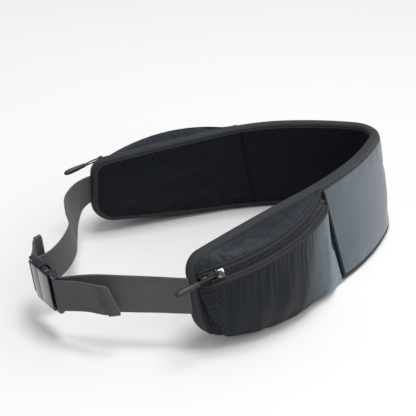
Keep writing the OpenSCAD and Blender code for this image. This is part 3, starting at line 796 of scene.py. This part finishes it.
def swept(name, angles, profile, mat, close=False, flip=False):
    """A profile of (w, h) points carried along the zip's arc."""
    prof = np.asarray(profile, float)
    pts = zip_point(angles[:, None], prof[None, :, 0], prof[None, :, 1])
    step = np.concatenate([[0], np.cumsum(np.linalg.norm(np.diff(prof, axis=0), axis=1))])
    run = np.radians(angles + ZIP_HALF) * ZIP_R
    uv = np.stack(np.broadcast_arrays(run[:, None], step[None]), -1)
    return tube(name, pts, uv, mat, flip=flip) if close else sheet(name, pts, uv, mat, flip)


TAPE_SECTION = [(2.3, 0.25), (4.5, 0.35), (8.8, 0.3), (8.8, -0.3), (4.5, -0.3), (2.3, -0.25)]
for row, sign in (("lower", 1), ("upper", -1)):
    tape = [(sign * w, h) for w, h in TAPE_SECTION]
    ob = swept("zip_tape_" + row + "_l", arc, tape, zip_cloth_and_crease_shade, close=True, flip=sign < 0)
    finish_pair(ob, "zip_tape_" + row)
    # the pocket cloth is folded under at the tape and makes a rounded welt there; the welt takes the dark tape
    # cloth, as painted shade in the crease at the tape
    angles = np.linspace(0, TAU, 14, endpoint=False)
    welt = [(sign * (8.3 + 1.7 * math.cos(a)), 0.6 + 1.0 * math.sin(a)) for a in angles]
    ob = swept("zip_welt_" + row + "_l", arc, welt, zip_cloth_and_crease_shade, close=True, flip=sign > 0)
    subdivide(ob)
    finish_pair(ob, None)

TOOTH = 1.5
n_teeth = int((arc_run[-1] - 8) / TOOTH)
for row, sign in (("lower", 1), ("upper", -1)):
    verts, faces = [], []
    angles = np.arange(6) * TAU / 6
    for i in range(n_teeth):
        mid = -ZIP_HALF + math.degrees((4 + (i + (0.5 if sign > 0 else 0)) * TOOTH) / ZIP_R)
        base = len(verts)
        for w, r in ((-0.45, 0.3), (-0.2, 0.62), (1.9, 0.62), (2.5, 0.3)):
            for a in angles:
                turn = math.degrees(r * math.cos(a) * 0.85 / ZIP_R)
                verts.append(zip_point(mid + turn, sign * (w + 0.1), 0.25 + r * 1.25 * math.sin(a)))
        for k in range(3):
            for j in range(6):
                m = (j + 1) % 6
                quad = (base + k * 6 + j, base + k * 6 + m, base + k * 6 + 6 + m, base + k * 6 + 6 + j)
                faces.append(quad if sign > 0 else quad[::-1])
        ends = (tuple(base + j for j in range(5, -1, -1)), tuple(base + 18 + j for j in range(6)))
        faces += [e if sign > 0 else e[::-1] for e in ends]
    ob = add_object("zip_coil_" + row + "_l", verts, faces, coil_plastic)
    finish_pair(ob, "zip_coil_" + row)


def bevelled(name, node, width_mm, mat, body):
    """A copy of a CAD node with its sharp edges rounded, which stands for it."""
    src = nodes[node]
    ob = src.copy()
    ob.data = src.data.copy()
    ob.name = ob.data.name = name
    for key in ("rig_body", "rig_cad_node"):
        if key in ob:
            del ob[key]
    ob.parent = None
    scene.collection.objects.link(ob)
    weld = ob.modifiers.new("weld", "WELD")
    weld.merge_threshold = 0.00001
    flat = ob.modifiers.new("flat", "DECIMATE")
    flat.decimate_type = "DISSOLVE"
    flat.angle_limit = math.radians(1.5)
    m = ob.modifiers.new("edges", "BEVEL")
    m.width = width_mm * MM
    m.segments = 3
    m.limit_method = "ANGLE"
    m.angle_limit = math.radians(28)
    m.harden_normals = False
    ob.data.materials.clear()
    ob.data.materials.append(mat)
    ob.data.polygons.foreach_set("use_smooth", [True] * len(ob.data.polygons))
    ob.data.update()
    finish(ob, body, node)


for side in ("left", "right"):
    bevelled("slider_" + side, "zip_slider_" + side, 0.3, gloss_black, "slider_" + side)
    bevelled("zip_stop_" + side, "zip_stops_" + side, 0.25, coil_plastic, "band")

LIFT, DROOP = math.radians(12), math.radians(14)
LOOP_R, STRAND_R, STRAND_W = 1.75, 0.8, 1.15
GRIP_AT, LOOP_AT = 22, 3.5      # where a strand leaves the grip, and where it turns round the bar


class Pull:
    """The frame of one zip pull: x along it, y across the tape, z off its face."""

    def __init__(self, side):
        self.side = side
        turn = math.radians(SLIDE_AT)
        radial = zip_n * math.cos(turn) + zip_e * math.sin(turn)
        flip = np.array([-1 if side == "right" else 1, 1, 1])
        self.at = zip_point(SLIDE_AT, 0, BAR_UP) * flip
        self.x = -(zip_e * math.cos(turn) - zip_n * math.sin(turn)) * flip
        self.y = -(radial * math.cos(TAPE_PITCH) - zip_a * math.sin(TAPE_PITCH)) * flip
        self.z = (radial * math.sin(TAPE_PITCH) + zip_a * math.cos(TAPE_PITCH)) * flip

    def point(self, x, y, z, drooped=True):
        if drooped:
            x, y = x * math.cos(DROOP) + y * math.sin(DROOP), -x * math.sin(DROOP) + y * math.cos(DROOP)
        x, z = x * math.cos(LIFT) - z * math.sin(LIFT), x * math.sin(LIFT) + z * math.cos(LIFT)
        return self.at + self.x * x + self.y * y + self.z * z


def loop_strand(pull, w):
    """A strand from the grip, round the slider's bar and back."""
    xs = np.linspace(GRIP_AT, LOOP_AT, 9)
    out = [pull.point(x, w * (1 - x / 32), 0.7 + 0.5 * math.sin(x / 6)) for x in xs]
    turn = [pull.point(LOOP_R * math.sin(a), w, LOOP_R * math.cos(a), False)
            for a in np.linspace(0.5, -math.pi - 0.5, 10)]
    back = [pull.point(x, w * (1 - x / 32), -0.7 - 0.3 * math.sin(x / 6)) for x in xs[::-1]]
    return smooth(out + turn + back, np.linspace(0, 1, 76))


# the grip swells from a collar to a rounded end, with moulded rings near the collar
GRIP = [(19.2, 1.2), (19.4, 2.3), (20.5, 2.8), (22.0, 2.8), (22.6, 2.3), (23.2, 2.8), (24.6, 2.9),
        (25.2, 2.4), (25.8, 3.0), (29, 3.2), (34, 3.4), (39, 3.45), (42.0, 3.1), (44.0, 2.2), (45.0, 1.0)]
for side in ("left", "right"):
    pull = Pull(side)
    body = "pull_" + side
    for k, w in enumerate((-STRAND_W, STRAND_W)):
        name = "pull_strand%d_%s" % (k + 1, side[0])
        ob = cord_along(name, loop_strand(pull, w), STRAND_R, cord_braid, body, sides=8)
        if k == 0:
            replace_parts(ob, "pull_cord_" + side)
    angles = np.arange(20) * TAU / 20
    rings = np.array([[pull.point(x, r * math.cos(a), 0.9 * r * math.sin(a)) for a in angles]
                      for x, r in GRIP])
    uv = np.array([[(x, a * 3) for a in angles] for x, _ in GRIP])
    grip = tube("pull_grip_" + side[0], rings, uv, grip_rubber, flip=side == "right")
    subdivide(grip)
    finish(grip, body, "pull_grip_" + side)

# ---- Webbing ----

def strap(name, rows, mat, body, thick=WEB_T):
    """Webbing through rows of (lower edge, upper edge), with soft edges and a slightly raised selvedge."""
    rows = np.asarray(rows, float)
    n = len(rows)
    d_low = np.gradient(rows[:, 0], axis=0)
    d_top = np.gradient(rows[:, 1], axis=0)
    width = rows[:, 1] - rows[:, 0]
    n_low = np.cross(d_low, width)
    n_top = np.cross(d_top, width)
    n_low /= np.linalg.norm(n_low, axis=1)[:, None]
    n_top /= np.linalg.norm(n_top, axis=1)[:, None]
    across = np.array([0.0, 0.012, 0.045, 0.09, 0.3, 0.5, 0.7, 0.91, 0.955, 0.988, 1.0])
    half = thick / 2 * np.array([0.25, 0.75, 1.0, 0.9, 0.92, 0.92, 0.92, 0.9, 1.0, 0.75, 0.25])
    pts = []
    for side in (1, -1):
        order = range(len(across)) if side > 0 else range(len(across) - 1, -1, -1)
        for k in order:
            f = across[k]
            normal = n_low * (1 - f) + n_top * f
            pts.append(rows[:, 0] + width * f + normal * half[k] * side)
    pts = np.stack(pts, 1)
    run = np.concatenate([[0], np.cumsum(np.linalg.norm(np.diff(rows.mean(1), axis=0), axis=1))])
    v_run = np.concatenate([across, across[::-1] + 1.2]) * WEB_W
    uv = np.stack(np.broadcast_arrays(run[:, None], v_run[None]), -1)
    ob = tube(name, pts, uv, mat)
    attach(ob, body)
    return ob


def between(low, top, steps):
    v = np.linspace(0, 1, steps)
    return np.stack([smooth(low, v), smooth(top, v)], 1)


WEB_LOW, TIP_S = 43.0, HALF_LEN + 0.6
WEB_HIGH = WEB_LOW + 37.5
H = WEB_W / 2
left_rows = between(
    [belt(TIP_S - 8, WEB_LOW, -1), belt(TIP_S, WEB_LOW, -1), (104, -126, 43), (87, -152, 42), (66, -179, 40),
     buckle_point(-BAR_X - 0.3, -WEB_Y, -H)],
    [belt(TIP_S - 8, WEB_HIGH, -1), belt(TIP_S, WEB_HIGH, -1), (98, -126, 81), (80, -151, 80), (61, -176, 78),
     buckle_point(-BAR_X - 0.3, -WEB_Y, H)], 60)
right_rows = between(
    [belt(-TIP_S + 8, WEB_LOW, -1), belt(-TIP_S, WEB_LOW, -1), (-110, -114, 42), (-84, -130, 42),
     (-56, -143, 41), (-33, -154, 40), (-13, -171, 39), (1, -192, 38),
     buckle_point(BAR_X + 0.3, -WEB_Y, -H)],
    [belt(-TIP_S + 8, WEB_HIGH, -1), belt(-TIP_S, WEB_HIGH, -1), (-107, -121, 80), (-88, -141, 79),
     (-60, -152, 78), (-38, -157, 77), (-17, -173, 76), (0, -193, 76),
     buckle_point(BAR_X + 0.3, -WEB_Y, H)], 90)


def wrap(side):
    """A tail's turn round its strap bar, from the side toward the buckle's middle to the outer face."""
    return [[buckle_point(side * (BAR_X + WEB_Y * math.cos(a)), WEB_Y * math.sin(a), z) for z in (-H, H)]
            for a in np.radians(np.arange(198, 89, -8))]


tail_left = wrap(-1) + list(between(
    [buckle_point(-BAR_X - 1.5, WEB_Y, -H), (52, -200, 38), (67, -184, 41), (82, -171, 42), (88, -159, 43)],
    [buckle_point(-BAR_X - 1.5, WEB_Y, H), (54, -204, 76), (64, -192, 77), (76, -180, 77),
     (84.5, -171, 77)], 40))
tail_right = wrap(1) + list(between(
    [buckle_point(BAR_X + 1.5, WEB_Y, -H), (-8, -204, 38.5), (-17, -199, 43), (-18, -192, 45.5)],
    [buckle_point(BAR_X + 1.5, WEB_Y, H), (-8, -208, 76.5), (-18, -203, 81), (-19, -195, 83.5)], 30))
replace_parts(strap("strap_left", left_rows, web_cloth, "band"), "webbing_left")
far_strap = strap("strap_right", right_rows, web_cloth, "band")
# strap() rode it on the band; it is taken off again, and its place is baked into its mesh
far_strap.parent = None
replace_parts(far_strap, "webbing_right")
bend_from, bend_to = belt(-TIP_S - 6, 60, 0) * MM, buckle_point(BAR_X + 8, 0, 0) * MM
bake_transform(far_strap)
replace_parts(strap("strap_tail_left", tail_left, web_cloth, "tail_left"), "webbing_tail_left")
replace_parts(strap("strap_tail_right", tail_right, web_cloth, "tail_right"), "webbing_tail_right")


def hem(name, rows, body, face):
    """The folded end of a tail: a second layer on one face, and two rows of stitches across it."""
    rows = np.asarray(rows)[-9:]
    d = np.gradient(rows.mean(1), axis=0)
    n = np.cross(d, rows[:, 1] - rows[:, 0])
    n *= face / np.linalg.norm(n, axis=1)[:, None]
    grow = (rows[:, 1] - rows[:, 0]) * 0.012
    fold = rows + n[:, None] * WEB_T * 1.02 + np.stack([-grow, grow], 1)
    strap(name + "_fold", fold, web_cloth, body, thick=WEB_T * 1.1)
    for k in (1, 3):
        line = np.linspace(fold[k, 0], fold[k, 1], 12) + n[k] * WEB_T * 0.55
        normals = np.repeat(n[k][None], 12, 0)
        stitches(name + "_stitch%d" % k, line, normals, body, thread_dark)
    edge = np.linspace(rows[-1, 0], rows[-1, 1], 20) + n[-1] * WEB_T * 0.5
    cord_along(name + "_turn", edge, WEB_T * 0.95, web_cloth, body)


hem("tail_hem_left", tail_left, "tail_left", 1)
hem("tail_hem_right", tail_right, "tail_right", -1)

# the webbing's sewn end, inside the pocket
anchor_s = np.linspace(290, 306, 10)
anchor_rows = np.stack([belt(anchor_s, WEB_LOW, OUTER + 1.15), belt(anchor_s, WEB_HIGH, OUTER + 1.15)], 1)
anchor = strap("strap_anchor_l", anchor_rows, web_cloth, "band")
finish_pair(anchor, "strap_anchor")

# ---- Buckle ----

bevelled("buckle_socket_shell", "buckle_socket", 0.55, buckle_plastic, "band")
bevelled("buckle_plug_shell", "buckle_plug", 0.55, buckle_plastic, "plug")
bevelled("latch_upper_arm", "latch_arm_upper", 0.4, buckle_plastic, "latch_upper")
bevelled("latch_lower_arm", "latch_arm_lower", 0.4, buckle_plastic, "latch_lower")

foam_mat = moulded("foam", srgb(70, 70, 74), srgb(86, 86, 90), 0.9, grain=1500, depth=0.0003)
for node in ("centre_foam", "wing_foam_left", "wing_foam_right"):
    nodes[node].data.materials.clear()
    nodes[node].data.materials.append(foam_mat)

# ---- Camera, light and floor ----

# the camera's place in metres, the way it looks from +X round, and how far down
CAM_AT, CAM_HEADING, CAM_DOWN = (0.8329, -0.4761, 0.6330), math.radians(151.0526), math.radians(30.4438)
cam_data = bpy.data.cameras.new("camera")
cam_data.lens = 90.55
cam_data.sensor_width = 36
cam_data.clip_end = 20
cam = bpy.data.objects.new("camera", cam_data)
scene.collection.objects.link(cam)
cam.location = CAM_AT
cam.rotation_euler = (math.pi / 2 - CAM_DOWN, 0, CAM_HEADING - math.pi / 2)
scene.camera = cam

floor_mat = Shader("floor_paper", rough=0.9, specular=0.1)
floor_mat.colour(floor_mat.noise(floor_mat.place(), 3), (0.66, 0.66, 0.66, 1), (0.67, 0.67, 0.67, 1))
FLOOR_HALF, FLOOR_Z = 4000, -0.6
corners = [(x * FLOOR_HALF, y * FLOOR_HALF, FLOOR_Z) for x, y in ((-1, -1), (1, -1), (1, 1), (-1, 1))]
floor = add_object("floor", corners, [(0, 1, 2, 3)], floor_mat.mat)

world = bpy.data.worlds.new("studio")
world.use_nodes = True
tree = world.node_tree
aim = tree.nodes.new("ShaderNodeVectorMath")
aim.operation = "DOT_PRODUCT"
aim.inputs[1].default_value = (0.62, 0.62, 0.48)  # the world is brightest from this side
level = tree.nodes.new("ShaderNodeMapRange")
level.interpolation_type = "SMOOTHSTEP"
level.inputs["From Min"].default_value = -0.2
level.inputs["From Max"].default_value = 0.95
level.inputs["To Min"].default_value = 0.25
level.inputs["To Max"].default_value = 1.35
tree.links.new(tree.nodes.new("ShaderNodeTexCoord").outputs["Generated"], aim.inputs[0])
tree.links.new(aim.outputs["Value"], level.inputs["Value"])
tree.links.new(level.outputs["Result"], tree.nodes["Background"].inputs["Strength"])
tree.nodes["Background"].inputs["Color"].default_value = (1, 1, 1, 1)
scene.world = world


def area_light(name, at, aim, size, watts):
    data = bpy.data.lights.new(name, "AREA")
    data.shape = "DISK"
    data.size = size
    data.energy = watts
    ob = bpy.data.objects.new(name, data)
    ob.location = at
    ob.rotation_euler = (Vector(aim) - Vector(at)).to_track_quat("-Z", "Y").to_euler()
    scene.collection.objects.link(ob)


area_light("key", (0.25, 0.1, 2.4), (0, 0, 0.05), 0.9, 44)
